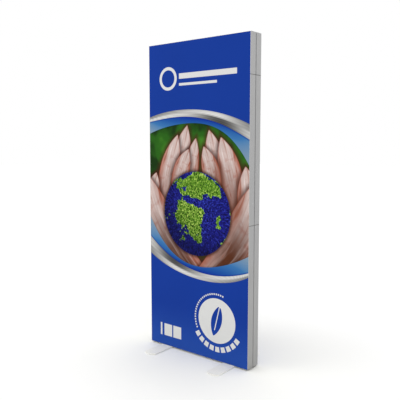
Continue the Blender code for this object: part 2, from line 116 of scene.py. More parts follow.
class DisplayClothSettings(bpy.types.PropertyGroup):
    """Sizes of the cloth and colours of its print."""

    thickness: length_setting("Thickness", 0.2 * MM, "Thickness of the knitted cloth")
    roll: length_setting("Roll", 1.1 * MM, "Radius at which the cloth rolls over the frame's edge")
    tuck: length_setting("Tuck", 13 * MM, "Depth of the hem inside the channel")
    stitch: length_setting("Loop", 0.9 * MM, "Width of one loop of the knit")
    columns: IntProperty(name="Columns", description="Cells across the flat part", default=118, min=8)
    rows: IntProperty(name="Rows", description="Cells up the flat part", default=298, min=8)
    ground: colour_setting("Ground", "133893", "Blue that fills most of the print")
    dye: number_setting("Dye", 0.93, "Share of the light that the inks return", min=0.0)
    white: colour_setting("White", "d8d8d6", "Unprinted white of the marks")


class DisplayMetalSettings(bpy.types.PropertyGroup):
    """Colours of the hard pieces."""

    aluminium: colour_setting("Aluminium", "a9a9a9", "Anodised aluminium of the frame")
    bracket: colour_setting("Brackets", "c8c8c6", "Bare aluminium of the brackets and joiners")
    zinc: colour_setting("Zinc", "b9bcc0", "Zinc-plated steel of the screws, bolts and latches")
    foot: colour_setting("Feet", "f6f5ee", "Powder coat of the foot plates")
    rubber: colour_setting("Rubber", "1b1b1c", "Pads under the feet")
    silicone: colour_setting("Silicone", "d9d8d0", "Strips sewn to the cloth")
    nylon: colour_setting("Nylon", "232426", "Saddles of the cross brace")


class DisplayStageSettings(bpy.types.PropertyGroup):
    """The studio round the display."""

    floor: colour_setting("Floor", "fafaf7", "Pale floor")
    floor_size: length_setting("Floor size", 60.0, "Side of the floor")
    key: number_setting("Key", 37.0, "Power of the soft main light", min=0.0, unit="POWER")
    fill: number_setting("Sky", 1.05, "Strength of the even light all round", min=0.0)
    azimuth: angle_setting("Azimuth", 38.734, "Camera's turn from the front")
    tilt: angle_setting("Tilt", 6.09, "Camera's downward tilt")
    lens: number_setting("Lens", 48.81, "Focal length", min=1.0, unit="CAMERA")
    place: FloatVectorProperty(
        name="Camera", description="Camera's place", default=(2.4147, -3.0302, 1.5525), subtype="TRANSLATION"
    )


# ---------------------------------------------------------------- node trees


class Tree:
    """Short names for building a node tree, where a value can be a number, a colour or a socket."""

    def __init__(self, nodes_of):
        self.tree = nodes_of

    def feed(self, socket, value):
        if isinstance(value, bpy.types.NodeSocket):
            self.tree.links.new(value, socket)
        elif hasattr(value, "__len__") and socket.type == "RGBA" and len(value) == 3:
            socket.default_value = (*value, 1.0)
        else:
            socket.default_value = value

    def add(self, kind, inputs=None, **settings):
        """A node with its settings and inputs, the inputs by name or by number."""
        node = self.tree.nodes.new(kind)
        for name, value in settings.items():
            setattr(node, name, value)
        for key, value in (inputs or {}).items():
            self.feed(node.inputs[key], value)
        return node

    def give(self, node, **inputs):
        """Feed the inputs of a node that is already there, where a name's _ stands for a space."""
        for name, value in inputs.items():
            self.feed(self.tree.nodes[node].inputs[name.replace("_", " ")], value)

    def math(self, operation, a, b=0.0, clamp=False):
        return self.add("ShaderNodeMath", {0: a, 1: b}, operation=operation, use_clamp=clamp).outputs[0]

    def plus(self, a, b):
        return self.math("ADD", a, b)

    def minus(self, a, b):
        return self.math("SUBTRACT", a, b)

    def times(self, a, b):
        return self.math("MULTIPLY", a, b)

    def absolute(self, a):
        return self.math("ABSOLUTE", a)

    def vector(self, operation, a, b=(0.0, 0.0, 0.0)):
        node = self.add("ShaderNodeVectorMath", {0: a, 1: b}, operation=operation)
        return node.outputs["Value" if operation in ("LENGTH", "DISTANCE", "DOT_PRODUCT") else "Vector"]

    def scaled(self, colour, factor):
        """A colour with each channel multiplied by one factor."""
        return self.vector("MULTIPLY", colour, self.join(factor, factor, factor))

    def split(self, vector):
        return self.add("ShaderNodeSeparateXYZ", {0: vector}).outputs

    def join(self, x, y, z=0.0):
        return self.add("ShaderNodeCombineXYZ", {0: x, 1: y, 2: z}).outputs[0]

    def ramp(self, value, low, high, start=0.0, end=1.0, smooth=False):
        """start where value is low, end where it is high, and between them in between."""
        kind = "SMOOTHSTEP" if smooth else "LINEAR"
        inputs = {"Value": value, "From Min": low, "From Max": high, "To Min": start, "To Max": end}
        return self.add("ShaderNodeMapRange", inputs, interpolation_type=kind).outputs["Result"]

    def mix(self, factor, a, b):
        """A colour between a and b."""
        node = self.add("ShaderNodeMix", data_type="RGBA")
        for name, value in (("Factor", factor), ("A", a), ("B", b)):
            self.feed(next(s for s in node.inputs if s.name == name and s.enabled), value)
        return next(s for s in node.outputs if s.enabled)

    def layered(self, value, first, *steps, smooth=False):
        """first, and over it each step's colour, as value goes from the step's low to its high."""
        colour = first
        for low, high, code in steps:
            colour = self.mix(self.ramp(value, low, high, smooth=smooth), colour, linear(code))
        return colour

    def noise(self, vector, scale, detail=2.0, roughness=0.5, distortion=0.0):
        inputs = {"Vector": vector, "Scale": scale, "Detail": detail, "Roughness": roughness}
        return self.add("ShaderNodeTexNoise", inputs | {"Distortion": distortion}).outputs["Fac"]

    def stretch(self, vector, scale, location=(0.0, 0.0, 0.0)):
        """The coordinates scaled and then moved, each way by its own amount."""
        inputs = {"Vector": vector, "Scale": scale, "Location": location}
        return self.add("ShaderNodeMapping", inputs).outputs[0]

    def group(self, build, **inputs):
        """The outputs of the shared node group that build makes, given its inputs by name."""
        return self.add("ShaderNodeGroup", inputs, node_tree=shared(build)).outputs

    def attribute(self, name):
        return self.add("ShaderNodeAttribute", attribute_name=name).outputs["Vector"]


SOCKETS = {"v": "NodeSocketVector", "f": "NodeSocketFloat", "c": "NodeSocketColor"}


def new_group(name, inputs, outputs):
    """An empty node group's Tree and its inputs' sockets. inputs and outputs are (kind, name) pairs."""
    tree = bpy.data.node_groups.new(name, "ShaderNodeTree")
    for kind, label in inputs:
        tree.interface.new_socket(label, in_out="INPUT", socket_type=SOCKETS[kind])
    for kind, label in outputs:
        tree.interface.new_socket(label, in_out="OUTPUT", socket_type=SOCKETS[kind])
    return Tree(tree), tree.nodes.new("NodeGroupInput").outputs


def close_group(t, **results):
    """Connect the group's outputs by name."""
    t.add("NodeGroupOutput", results)
    return t.tree


def shared(build):
    """The node group named after its builder, which builds it the first time it is asked for."""
    name = build.__name__.removeprefix("build_").replace("_", " ").capitalize()
    return bpy.data.node_groups.get(name) or build(name)


def build_draw_lines(name):
    """Fine lines left by the die, along Y of the coordinates given, and a slow change of tone."""
    t, given = new_group(name, [("v", "Vector"), ("f", "Spacing")], [("f", "Tone"), ("f", "Height")])
    close = t.vector("DIVIDE", given["Vector"], t.join(given["Spacing"], 1.3, given["Spacing"]))
    fine = t.noise(close, 1.0, 3.0, 0.7)
    bands = t.noise(t.stretch(given["Vector"], (160.0, 0.9, 160.0)), 1.0)
    tone = t.plus(t.times(fine, 0.45), t.times(bands, 0.55))
    return close_group(t, Tone=tone, Height=fine)


def build_handling(name):
    """Where hands and floors have touched the surface: broad smudges and short crossing scuffs."""
    t, given = new_group(name, [("v", "Vector")], [("f", "Smudge"), ("f", "Scuff")])
    smudge = t.ramp(t.noise(given["Vector"], 7.0, 4.0, 0.6), 0.48, 0.72, smooth=True)
    bent = t.stretch(given["Vector"], (260.0, 24.0, 60.0), (3.0, 1.0, 2.0))
    lines = t.ramp(t.noise(bent, 1.0, 2.0, 0.6, 0.4), 0.66, 0.74)
    where = t.ramp(t.noise(given["Vector"], 11.0, 1.0), 0.5, 0.62)
    return close_group(t, Smudge=smudge, Scuff=t.times(lines, where))


def build_dust(name):
    """Dust that settles on what faces up, thinner where it has been brushed off."""
    t, given = new_group(name, [("v", "Vector"), ("f", "Amount")], [("f", "Mask")])
    normal = t.add("ShaderNodeNewGeometry").outputs["Normal"]
    up = t.ramp(t.split(normal)["Z"], 0.6, 0.95, smooth=True)
    patches = t.ramp(t.noise(given["Vector"], 22.0, 5.0, 0.65), 0.35, 0.7)
    return close_group(t, Mask=t.times(t.times(up, patches), given["Amount"]))


def build_near_a_plane(name):
    """1 at a plane across one coordinate and 0 further from it than Reach."""
    inputs = [("f", "Coordinate"), ("f", "Place"), ("f", "Reach")]
    t, given = new_group(name, inputs, [("f", "Mask")])
    gap = t.absolute(t.minus(given["Coordinate"], given["Place"]))
    share = t.math("DIVIDE", gap, given["Reach"])
    return close_group(t, Mask=t.ramp(share, 0.0, 1.0, 1.0, 0.0, smooth=True))


def build_grain(name):
    """A pebbled skin, as on powder coat, moulded nylon and rubber."""
    t, given = new_group(name, [("v", "Vector"), ("f", "Size")], [("f", "Height"), ("f", "Tone")])
    spread = t.vector("DIVIDE", given["Vector"], t.join(given["Size"], given["Size"], given["Size"]))
    cells = t.add("ShaderNodeTexVoronoi", {"Vector": spread, "Scale": 1.0}, feature="SMOOTH_F1")
    height = t.plus(cells.outputs["Distance"], t.times(t.noise(spread, 2.3, 2.0), 0.5))
    return close_group(t, Height=height, Tone=t.noise(spread, 0.12, 3.0, 0.6))


def build_knit(name):
    """Fine warp-knitted cloth: rows of V-shaped loops, a loop wide and a loop high."""
    t, given = new_group(name, [("v", "Vector"), ("f", "Loop")], [("f", "Height"), ("f", "Tone")])
    cell = t.vector("DIVIDE", given["Vector"], t.join(given["Loop"], given["Loop"], 1.0))
    axes = t.split(cell)
    across = t.math("FRACT", axes["X"])
    legs = t.absolute(t.minus(across, 0.5))
    along = t.plus(axes["Y"], t.times(legs, 1.4))
    rise = t.math("SINE", t.times(along, 2 * math.pi))
    wale = t.math("SINE", t.times(across, math.pi))
    height = t.plus(t.times(rise, 0.35), wale)
    slub = t.noise(t.stretch(given["Vector"], (900.0, 30.0, 1.0)), 1.0, 2.0)
    tone = t.plus(t.times(slub, 0.6), t.times(wale, 0.4))
    return close_group(t, Height=height, Tone=tone)


# ---------------------------------------------------------------- the artwork


# Middles and radii of the round things in the print, measured from the panel's middle.
BALL = (-3 * MM, -89 * MM)
BALL_RADIUS = 302 * MM
BADGE = (183 * MM, -835 * MM)
BADGE_RADIUS = 162 * MM
RING = (-262 * MM, 873 * MM)
RING_RADIUS = 72 * MM
RING_HALF_WIDTH = 11 * MM

# Heights above the panel's middle, at the left edge, a quarter, the middle, three quarters and the
# right edge, of the lines that bound the silver band and the round window inside it.
LINE_PLACES = (-450 * MM, -225 * MM, 0.0, 225 * MM, 450 * MM)
BAND_OUTER_TOP = (601, 643, 645, 610, 533)
BAND_INNER_TOP = (569, 596, 591, 536, 433)
WINDOW_TOP = (481, 538, 551, 491, 259)
BAND_OUTER_BOTTOM = (-421, -518, -559, -554, -481)
BAND_INNER_BOTTOM = (-291, -437, -504, -507, -451)
WINDOW_BOTTOM = (-139, -397, -467, -435, -339)

# The layers of petals from the back to the front: each layer's petals as (base, tip, width,
# sideways bow) in millimetres from the panel's middle, how brown its petals are at the base, and how
# deep a brown hollow runs along them.
PETALS = {
    "petals_back": ((
        ((-180, -40), (-82, 540), 176, 16),
        ((200, -40), (112, 506), 176, -20),
    ), 0.8, 0.0),
    "petals_middle": ((
        ((-330, -120), (-172, 474), 184, 14),
        ((-70, 0), (-2, 450), 128, 10),
        ((366, -120), (214, 456), 190, -14),
    ), 0.75, 0.0),
    "petals_near": ((
        ((-190, 0), (-70, 372), 150, 18),
        ((170, 0), (66, 392), 150, -18),
        ((-430, -260), (-384, 196), 180, 34),
        ((440, -260), (418, 262), 190, -20),
    ), 0.7, 0.0),
    "petals_front": ((
        ((70, -590), (-520, 210), 340, 120),
    ), 0.1, 0.9),
    "petals_last": ((
        ((36, -600), (530, 190), 330, -110),
    ), 0.2, 1.0),
}

# Where the ball's lands gather, as (centre, size, weight) in the ball's radii.
LANDS = (
    ((0.12, 0.66), (0.62, 0.30), 0.24),
    ((-0.22, -0.02), (0.42, 0.26), 0.22),
    ((0.0, -0.36), (0.2, 0.3), 0.2),
)

# The plain marks: bars as (left, right, bottom, top), and rings of dashes round the badge as
# (radius, half width, start angle, end angle, count, share filled), in millimetres and degrees.
BARS = (
    (-158, 344, 866, 904),
    (-158, 180, 818, 836),
    (-352, -336, -1050, -954),
    (-314, -236, -1048, -956),
    (-224, -146, -1048, -956),
)
DASH_RINGS = (
    (207, 19, -148, -24, 9, 0.72),
    (192, 6, 72, 208, 24, 0.6),
)


def line_height(heights, u):
    """The smooth curve of fourth order through a line's five heights, and its slope, at u."""
    curve = np.polyfit(LINE_PLACES, np.array(heights) * MM, 4)
    return np.polyval(curve, u), np.polyval(np.polyder(curve), u)


def below_line(heights, u, w):
    """How far (u, w) lies below a line: the drop to it, shortened by the line's slope."""
    height, slope = line_height(heights, u)
    return (height - w) / np.hypot(1, slope)


def inside_lines(top, bottom, u, w):
    """Distance inside the space between two lines, less than 0 outside it."""
    return np.minimum(below_line(top, u, w), -below_line(bottom, u, w))


def bell(x, width):
    """A smooth bump, 1 at x = 0."""
    return np.exp(-((x / width) ** 2))


def silver_tone(u, w):
    """Brightness of the silver band, which is bent into two facets along its middle.

    From end to end the outer facet rises from grey to a highlight and falls again, and the inner one
    falls from pale to a dark reflection and rises again. Each is a level plus one bell, steeper on
    its right. Faint lines run along both, and both edges are a little darker. The lower band is the
    upper one turned half round the panel's middle.
    """
    upper = below_line(BAND_OUTER_TOP, u, w)
    lower = -below_line(BAND_OUTER_BOTTOM, u, w)
    top_width = upper - below_line(BAND_INNER_TOP, u, w)
    bottom_width = lower + below_line(BAND_INNER_BOTTOM, u, w)
    on_top = w > 0
    along = np.where(on_top, u, -u) / LINE_PLACES[-1]
    across = np.where(on_top, upper / top_width, lower / bottom_width)
    peak, dip = 0.38, 0.48
    outer = 0.52 + 0.31 * bell(along - peak, np.where(along < peak, 0.88, 0.43))
    inner = 0.81 - 0.50 * bell(along - dip, np.where(along < dip, 0.47, 0.37))
    fold_start, fold_width = 0.40, 0.16
    fold = np.clip((across - fold_start) / fold_width, 0, 1)
    lines = 0.035 * np.sin(2 * math.pi * (4.2 * across + 0.9 * along))
    edges = 0.10 * bell(across, 0.10) + 0.06 * bell(across - 1, 0.08)
    return np.clip(outer + (inner - outer) * fold**2 * (3 - 2 * fold) + lines - edges, 0, 1)


def petal(base, tip, width, bow, u, w):
    """Distance inside one petal, place across it from -1 to 1, and place along it from 0 to 1.

    The middle line runs from base to tip and bows sideways as a parabola. The half width grows
    from 0.62 of its full size at the base to all of it half way, and closes to a point as an ogive.
    """
    start = np.array(base) * MM
    way = np.array(tip) * MM - start
    length = np.hypot(*way)
    way = way / length
    along = ((u - start[0]) * way[0] + (w - start[1]) * way[1]) / length
    side = (w - start[1]) * way[0] - (u - start[0]) * way[1]
    side = side - 4 * bow * MM * along * (1 - along)
    full = width * MM / 2
    widest = 0.5
    at_base = 0.62
    growing = at_base + (1 - at_base) * np.sin(np.clip(along / widest, 0, 1) * math.pi / 2)
    end = np.clip((along - widest) / (1 - widest), 0, None)
    across = side / (full * growing)
    distance = (1 - np.abs(across) - end**2.4) * full
    return np.minimum(distance, along * length), across, along


def petal_layer(petals, u, w):
    """For each point its deepest petal's distance, place across and place along."""
    made = np.array([petal(*shape, u, w) for shape in petals])
    deepest = made[:, 0].argmax(0)
    return np.take_along_axis(made, deepest[None, None], 0)[0].transpose(1, 2, 0)


def leaf_distance(u, w):
    """Distance inside the badge's leaf: the lens where two equal circles overlap, leaning right."""
    lean = math.radians(14)
    x = (u - BADGE[0]) * math.cos(lean) - (w - BADGE[1]) * math.sin(lean)
    y = (u - BADGE[0]) * math.sin(lean) + (w - BADGE[1]) * math.cos(lean)
    half_length = 118 * MM
    half_width = 46 * MM
    vein_half_width = 4 * MM
    vein_end = 0.62 * half_length
    radius = (half_length**2 + half_width**2) / (2 * half_width)
    offset = radius - half_width
    sides = np.minimum(radius - np.hypot(x - offset, y), radius - np.hypot(x + offset, y))
    vein = np.maximum(np.abs(x) - vein_half_width, -y - vein_end)
    return np.minimum(sides, vein)


def artwork_fields(u, w):
    """Everything that the print's shader needs to know at each point of the cloth, by attribute name."""
    outer = inside_lines(BAND_OUTER_TOP, BAND_OUTER_BOTTOM, u, w)
    inner = inside_lines(BAND_INNER_TOP, BAND_INNER_BOTTOM, u, w)
    window = inside_lines(WINDOW_TOP, WINDOW_BOTTOM, u, w)
    return {
        "bands": np.stack([outer, inner, window], -1),
        "silver": np.stack([silver_tone(u, w), leaf_distance(u, w), np.zeros_like(u)], -1),
        **{name: petal_layer(petals, u, w) for name, (petals, _, _) in PETALS.items()},
    }


def edge(t, distance):
    """1 where distance is above 0 and 0 where it is below, with a thin soft step."""
    return t.ramp(distance, -SOFT_EDGE, SOFT_EDGE)


def build_petals(name):
    """One layer of petals laid over a colour, with a soft shadow round it."""
    inputs = [("c", "Under"), ("v", "Field"), ("v", "Place"), ("f", "Shade"), ("f", "Hollow")]
    t, given = new_group(name, inputs, [("c", "Color")])
    distance, across, along = (t.split(given["Field"])[axis] for axis in "XYZ")
    shadow = t.ramp(distance, -45 * MM, 0.0, 0.0, 0.75, smooth=True)
    under = t.mix(shadow, given["Under"], linear("3d1a12"))
    rim = t.ramp(t.absolute(across), 0.3, 1.0, smooth=True)
    folds = t.noise(t.join(t.times(across, 3.4), t.times(along, 2.2)), 1.0, 3.0, 0.5, 0.6)
    veins = t.noise(t.join(t.times(across, 9.0), t.times(along, 3.0)), 1.0, 3.0, 0.6)
    creases = t.noise(t.join(t.times(across, 1.5), t.times(along, 13.0)), 1.0, 2.0)
    body = t.mix(t.ramp(veins, 0.3, 0.8), linear("d5c5c0"), linear("bd9c92"))
    body = t.mix(t.ramp(folds, 0.50, 0.66, 0.0, 0.75, smooth=True), body, linear("a97263"))
    body = t.mix(t.ramp(folds, 0.56, 0.72, 0.0, 0.8, smooth=True), body, linear("7c4431"))
    body = t.mix(t.ramp(folds, 0.32, 0.46, 0.6, 0.0, smooth=True), body, linear("e3d8d5"))
    body = t.mix(t.ramp(creases, 0.56, 0.72, 0.0, 0.5), body, linear("a8685a"))
    body = t.mix(t.times(rim, 0.8), body, linear("a85a40"))
    near_edge = t.ramp(distance, 0.0, 9 * MM, 0.65, 0.0, smooth=True)
    body = t.mix(near_edge, body, linear("96391f"))
    deep = t.ramp(along, 0.0, 0.7, 0.95, 0.0, smooth=True)
    body = t.mix(t.times(deep, given["Shade"]), body, linear("7a3b28"))
    bent = t.plus(across, t.times(t.minus(folds, 0.5), 1.4))
    hollow = t.ramp(t.absolute(bent), 0.1, 0.7, 1.0, 0.0, smooth=True)
    hollow = t.times(hollow, t.ramp(along, 0.35, 0.8, 1.0, 0.0, smooth=True))
    body = t.mix(t.times(hollow, given["Hollow"]), body, linear("4c2818"))
    mottle = t.ramp(t.noise(given["Place"], 14.0, 3.0), 0.3, 0.7, 0.92, 1.06)
    body = t.scaled(body, mottle)
    return close_group(t, Color=t.mix(edge(t, distance), under, body))


def build_grass_ball(name):
    """A ball of short grass with dark blue water between invented lands, over a colour."""
    t, given = new_group(name, [("c", "Under"), ("v", "Place")], [("c", "Color")])
    size = 1 / BALL_RADIUS
    spot = t.stretch(given["Place"], (size, size, 0.0), (-BALL[0] * size, -BALL[1] * size, 0.0))
    radius = t.vector("LENGTH", spot)
    x, y = (t.split(spot)[axis] for axis in "XY")
    height = t.math("SQRT", t.minus(1.0, t.math("MINIMUM", t.math("POWER", radius, 2.0), 1.0)))
    solid = t.join(x, y, height)
    angle = t.math("ARCTAN2", y, x)
    blades_out = t.noise(t.join(t.times(angle, 24.0), t.times(radius, 9.0)), 1.0, 2.0, 0.7)
    tufts = t.noise(given["Place"], 85.0, 2.0, 0.7, 0.8)
    outwards = t.ramp(radius, 0.4, 0.95, 0.0, 0.75)
    blade = t.plus(tufts, t.times(t.minus(blades_out, tufts), outwards))
    rim = t.plus(radius, t.times(t.minus(blades_out, 0.5), 0.035))
    grass = t.layered(blade, linear("152f08"), (0.40, 0.52, "588a20"), (0.52, 0.66, "bdd468"))
    water = t.layered(blade, linear("070828"), (0.38, 0.54, "191b7c"), (0.55, 0.72, "4358d0"))
    lands = t.noise(t.vector("ADD", solid, (4.7, 2.2, 7.9)), 2.1, 3.0, 0.6)
    lands = t.plus(lands, t.times(t.minus(tufts, 0.5), 0.05))
    for centre, size, weight in LANDS:
        scale = (1 / size[0], 1 / size[1], 0.0)
        spread = t.stretch(spot, scale, (-centre[0] * scale[0], -centre[1] * scale[1], 0.0))
        near = t.ramp(t.vector("LENGTH", spread), 0.5, 1.5, weight, 0.0, smooth=True)
        lands = t.plus(lands, near)
    face = t.mix(t.ramp(lands, 0.595, 0.61), water, grass)
    lit = t.plus(t.times(x, 0.35), t.times(y, 0.45))
    shade = t.ramp(t.plus(lit, t.times(height, 0.5)), -0.25, 0.5, 0.45, 1.08, smooth=True)
    face = t.scaled(face, shade)
    fall = t.ramp(rim, 1.0, 1.09, 0.75, 0.0, smooth=True)
    low = t.ramp(x, 0.1, 0.9, 0.15, 0.5, smooth=True)
    wide = t.times(t.ramp(radius, 1.0, 1.75, 1.0, 0.0, smooth=True), low)
    under = t.mix(wide, given["Under"], linear("6b3a24"))
    under = t.mix(fall, under, linear("2a130b"))
    return close_group(t, Color=t.mix(t.ramp(rim, 0.995, 1.003), face, under))


def bar(t, place, left, right, bottom, top):
    """A mask of a plain rectangle, its sides given in millimetres from the panel's middle."""
    axes = t.split(place)
    centre = ((left + right) / 2 * MM, (bottom + top) / 2 * MM)
    beyond_u = t.minus((right - left) / 2 * MM, t.absolute(t.minus(axes["X"], centre[0])))
    beyond_w = t.minus((top - bottom) / 2 * MM, t.absolute(t.minus(axes["Y"], centre[1])))
    return edge(t, t.math("MINIMUM", beyond_u, beyond_w))


def hoop(t, place, centre, radius, half_width):
    """A mask of a plain round ring, and where each point lies from its centre."""
    spot = t.vector("SUBTRACT", place, (*centre, 0.0))
    gap = t.absolute(t.minus(t.vector("LENGTH", spot), radius))
    return edge(t, t.minus(half_width, gap)), spot


def dashes(t, spot, start, end, count, share):
    """A mask of count equal dashes from one angle in degrees to another, each filling share of its pitch."""
    axes = t.split(spot)
    turn = t.minus(t.math("ARCTAN2", axes["Y"], axes["X"]), math.radians(start))
    steps = t.math("DIVIDE", t.math("FLOORED_MODULO", turn, 2 * math.pi), math.radians(end - start) / count)
    filled = t.math("LESS_THAN", t.math("FRACT", steps), share)
    return t.times(filled, t.math("LESS_THAN", steps, float(count)))


def build_marks(name):
    """The plain white marks: a ring with two bars, three blocks, and a badge with a leaf and dashes."""
    t, given = new_group(name, [("v", "Place"), ("f", "Leaf")], [("f", "White")])
    place = given["Place"]
    ring, _ = hoop(t, place, RING, RING_RADIUS, RING_HALF_WIDTH)
    disc, spot = hoop(t, place, BADGE, 0.0, BADGE_RADIUS)
    plain = [ring, t.math("SUBTRACT", disc, edge(t, given["Leaf"]), clamp=True)]
    plain += [bar(t, place, *sides) for sides in BARS]
    for radius, half_width, *spacing in DASH_RINGS:
        band, _ = hoop(t, place, BADGE, radius * MM, half_width * MM)
        plain.append(t.times(band, dashes(t, spot, *spacing)))
    white = plain[0]
    for mark in plain[1:]:
        white = t.math("MAXIMUM", white, mark)
    return close_group(t, White=white)


def build_artwork(name):
    """The print: ground with painted light towards its bottom, silver band, blue ring, window with its
    picture, and white marks.
    """
    inputs = [("v", "Place"), ("c", "Ground"), ("c", "White")]
    t, given = new_group(name, inputs, [("c", "Color")])
    place = given["Place"]
    bands = t.split(t.attribute("bands"))
    extra = t.split(t.attribute("silver"))
    slow = t.ramp(t.noise(place, 1.1, 2.0), 0.3, 0.7, 0.95, 1.05)
    colour = t.scaled(given["Ground"], slow)
    # Painted light: the ground turns a lighter blue towards the bottom, as if lit by the floor.
    low = t.ramp(t.split(place)["Y"], -1.15, -0.75, 0.6, 0.0, smooth=True)
    colour = t.mix(low, colour, linear("2c55ab"))
    metal = t.mix(t.math("POWER", extra["X"], 2.2), linear("000000"), linear("fffefb"))
    colour = t.mix(edge(t, bands["X"]), colour, metal)
    side = t.math("DIVIDE", t.absolute(t.split(place)["X"]), LINE_PLACES[-1])
    inwards = t.math("DIVIDE", bands["Y"], t.minus(bands["Y"], bands["Z"]))
    pale = t.plus(t.math("POWER", side, 2.0), t.times(inwards, 0.5))
    blues = ((0.1, 0.5, "20559f"), (0.5, 1.0, "3e78ae"), (0.9, 1.45, "8096a8"))
    line = t.ramp(bands["Y"], 3 * MM, 12 * MM, 0.7, 0.0)
    ring = t.mix(line, t.layered(pale, linear("0a3496"), *blues), linear("0a2c8c"))
    colour = t.mix(edge(t, bands["Y"]), colour, ring)
    blur = t.noise(t.stretch(place, (1.0, 0.7, 1.0), (2.0, 5.0, 0.0)), 6.0, 2.0, 0.45)
    greens = ((0.36, 0.5, "295e18"), (0.52, 0.68, "448125"))
    picture = t.layered(blur, linear("18340f"), *greens, smooth=True)
    for layer, (_, shade, hollow) in PETALS.items():
        field = t.attribute(layer)
        laid = t.group(build_petals, Under=picture, Field=field, Place=place, Shade=shade, Hollow=hollow)
        picture = laid["Color"]
    picture = t.group(build_grass_ball, Under=picture, Place=place)["Color"]
    rim = t.ramp(bands["Z"], 0.0, 12 * MM, 0.35, 0.0)
    picture = t.mix(rim, picture, linear("0d2a16"))
    colour = t.mix(edge(t, bands["Z"]), colour, picture)
    white = t.group(build_marks, Place=place, Leaf=extra["Y"])["White"]
    return close_group(t, Color=t.mix(white, colour, given["White"]))


# ---------------------------------------------------------------- materials


def new_material(name):
    """A material and its Tree."""
    material = bpy.data.materials.new(name)
    material.use_nodes = True
    return material, Tree(material.node_tree)


def object_place(t):
    return t.add("ShaderNodeTexCoord").outputs["Object"]


def surface(t, height, depth, **inputs):
    """Give the shader its inputs, and a bump from a height of 0 to 1 that is depth metres deep."""
    bump = t.add("ShaderNodeBump", {"Height": height, "Distance": depth})
    t.give("Principled BSDF", Normal=bump.outputs["Normal"], **inputs)


def seam_heights():
    """Heights of the seams between the lengths of an upright."""
    return [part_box(f"upright_right_{part}")[1].z for part in ("lower", "middle")]


def aluminium_material(name, colour, along):
    """Satin anodised aluminium, its draw lines running along X or Z.

    The lips carry a painted highlight, the seams of an upright and the groove down its middle carry painted
    shade, and the frame is painted darker towards the floor and lighter towards its top.
    """
    material, t = new_material(name)
    place = object_place(t)
    axes = t.split(place)
    order = {"X": "YXZ", "Z": "XZY"}[along]
    turned = t.join(*(axes[axis] for axis in order))
    lines = t.group(build_draw_lines, Vector=turned, Spacing=0.5 * MM)
    touched = t.group(build_handling, Vector=turned)
    base = t.scaled(colour, t.ramp(lines["Tone"], 0.3, 0.7, 0.90, 1.06))
    base = t.mix(t.times(touched["Scuff"], 0.25), base, linear("e8e8e6"))
    # Painted shade and light: the frame is darker towards the floor and lighter towards its top.
    base = t.scaled(base, t.ramp(axes["Z"], cad_box[0].z, cad_box[1].z, 0.94, 1.04))
    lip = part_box("top_rail")[0].y
    # Painted highlight: a pale strip along each lip, where the rounded edge would catch the light.
    painted_light_bands = [("Y", y, 1.4 * MM, 0.5, "e9e6dc") for y in (lip, -lip)]
    if along == "Z":
        # Painted shade: dark bands at the seams between the lengths of an upright.
        painted_light_bands += [("Z", z, 4 * MM, 0.8, "565552") for z in seam_heights()]
    # Painted shade: a faint darkening along the groove down the middle of the profile.
    painted_light_bands.append(("Y", 0.0, 7.5 * MM, 0.10, "545454"))
    for axis, spot, reach, share, code in painted_light_bands:
        mask = t.group(build_near_a_plane, Coordinate=axes[axis], Place=spot, Reach=reach)["Mask"]
        base = t.mix(t.times(mask, share), base, linear(code))
    dust = t.group(build_dust, Vector=place, Amount=0.25)["Mask"]
    base = t.mix(dust, base, linear("b5b1a8"))
    rough = t.plus(t.ramp(lines["Tone"], 0.3, 0.7, 0.36, 0.50), t.times(touched["Smudge"], 0.08))
    rough = t.math("ADD", rough, t.times(dust, 0.3), clamp=True)
    metallic = t.ramp(dust, 0.0, 0.5, 0.85, 0.2)
    surface(t, lines["Height"], 0.02 * MM, Base_Color=base, Roughness=rough, Metallic=metallic)
    return material


def bare_metal(name, colour, rough):
    """Sawn and drilled aluminium: coarse tool marks and bright rubbed patches."""
    material, t = new_material(name)
    place = object_place(t)
    lines = t.group(build_draw_lines, Vector=place, Spacing=1.1 * MM)
    touched = t.group(build_handling, Vector=place)
    base = t.scaled(colour, t.ramp(lines["Tone"], 0.3, 0.7, 0.82, 1.05))
    base = t.mix(t.times(touched["Scuff"], 0.5), base, linear("f0f0f0"))
    dulled = t.ramp(touched["Smudge"], 0.0, 1.0, rough, rough + 0.18)
    surface(t, lines["Height"], 0.05 * MM, Base_Color=base, Roughness=dulled, Metallic=1.0)
    return material


def zinc_material(name, colour):
    """Zinc plate with its faint blue and yellow bloom, dulled in patches."""
    material, t = new_material(name)
    place = object_place(t)
    bloom = t.noise(place, 120.0, 3.0, 0.6)
    base = t.mix(t.ramp(bloom, 0.35, 0.5), linear("a7b0bd"), colour)
    base = t.mix(t.ramp(bloom, 0.55, 0.72), base, linear("c9c2a6"))
    grain = t.group(build_grain, Vector=place, Size=0.35 * MM)
    rough = t.ramp(t.noise(place, 300.0), 0.3, 0.7, 0.24, 0.42)
    surface(t, grain["Height"], 0.015 * MM, Base_Color=base, Roughness=rough, Metallic=1.0)
    return material


